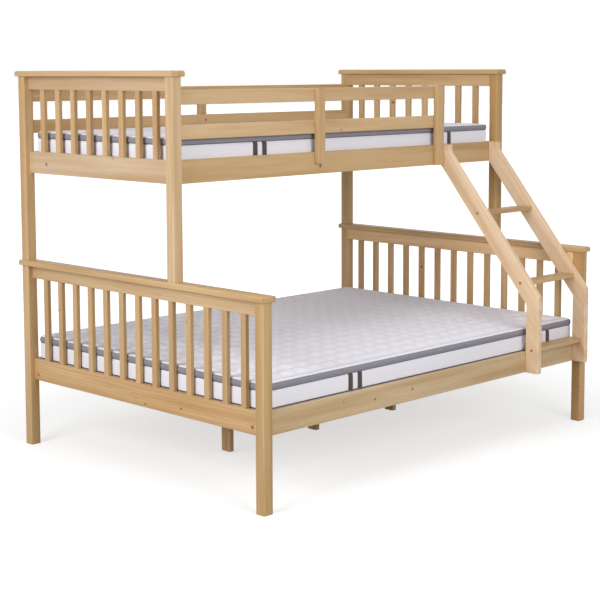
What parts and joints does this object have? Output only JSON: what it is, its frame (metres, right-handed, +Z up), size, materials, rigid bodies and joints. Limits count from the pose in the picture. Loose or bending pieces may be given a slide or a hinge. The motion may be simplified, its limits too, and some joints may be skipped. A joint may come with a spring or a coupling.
{
  "type": "bunk_bed",
  "caption": "Triple bunk bed in pale knotty pine: double bed below, single above, slatted ends, front guard and cranked ladder, both mattresses.",
  "frame": {"origin": "on the floor, in the middle of the box round the whole bed", "axes": "+X along the bed to the end with the ladder, +Y from the front to the back, +Z up"},
  "size_m": [2.03, 1.527, 1.585],
  "materials": {
    "pine": "satin lacquer",
    "mattress_fabric": "quilted",
    "zinc_hardware": "zinc plated",
    "screw_cap_plastic": "matte"
  },
  "bodies": {
    "bed_frame": {"lower_post_front_left": "pine", "lower_post_back_left": "pine", "lower_cap_left": "pine", "lower_bottom_rail_left": "pine", "lower_top_rail_left": "pine", "lower_panel_slats_left": "pine", "lower_post_front_right": "pine", "lower_post_back_right": "pine", "lower_cap_right": "pine", "lower_bottom_rail_right": "pine", "lower_top_rail_right": "pine", "lower_panel_slats_right": "pine", "lower_side_rail_front": "pine", "lower_bearer_front": "pine", "lower_side_rail_back": "pine", "lower_bearer_back": "pine", "lower_bed_slats": "pine", "upper_post_front_left": "pine", "upper_post_back_left": "pine", "upper_cap_left": "pine", "upper_bottom_rail_left": "pine", "upper_top_rail_left": "pine", "upper_panel_slats_left": "pine", "upper_post_front_right": "pine", "upper_post_back_right": "pine", "upper_cap_right": "pine", "upper_bottom_rail_right": "pine", "upper_top_rail_right": "pine", "upper_panel_slats_right": "pine", "upper_side_rail_front": "pine", "upper_bearer_front": "pine", "upper_side_rail_back": "pine", "upper_bearer_back": "pine", "upper_bed_slats": "pine", "lower_centre_beam": "pine", "lower_centre_leg_left": "pine", "lower_centre_leg_middle": "pine", "lower_centre_leg_right": "pine", "front_guard_board_low": "pine", "back_guard_board_low": "pine", "front_guard_board_high": "pine", "back_guard_board_high": "pine", "front_guard_upright_middle": "pine", "front_guard_upright_end": "pine", "back_guard_upright": "pine", "ladder_stringer_left": "pine", "ladder_stringer_right": "pine", "ladder_tread_lower": "pine", "ladder_tread_middle": "pine", "ladder_tread_upper": "pine", "rail_bolts": "zinc_hardware", "barrel_nuts": "zinc_hardware", "stacking_pins": "pine", "ladder_screw_caps": "screw_cap_plastic"},
    "lower_mattress": {"lower_mattress": "mattress_fabric"},
    "upper_mattress": {"upper_mattress": "mattress_fabric"}
  },
  "joints": [
    {"name": "lower_mattress_lift", "type": "slide", "parent": "bed_frame", "child": "lower_mattress", "axis": [0, 0, 1], "range_m": [0, 0.1]},
    {"name": "upper_mattress_lift", "type": "slide", "parent": "bed_frame", "child": "upper_mattress", "axis": [0, 0, 1], "range_m": [0, 0.4]}
  ]
}
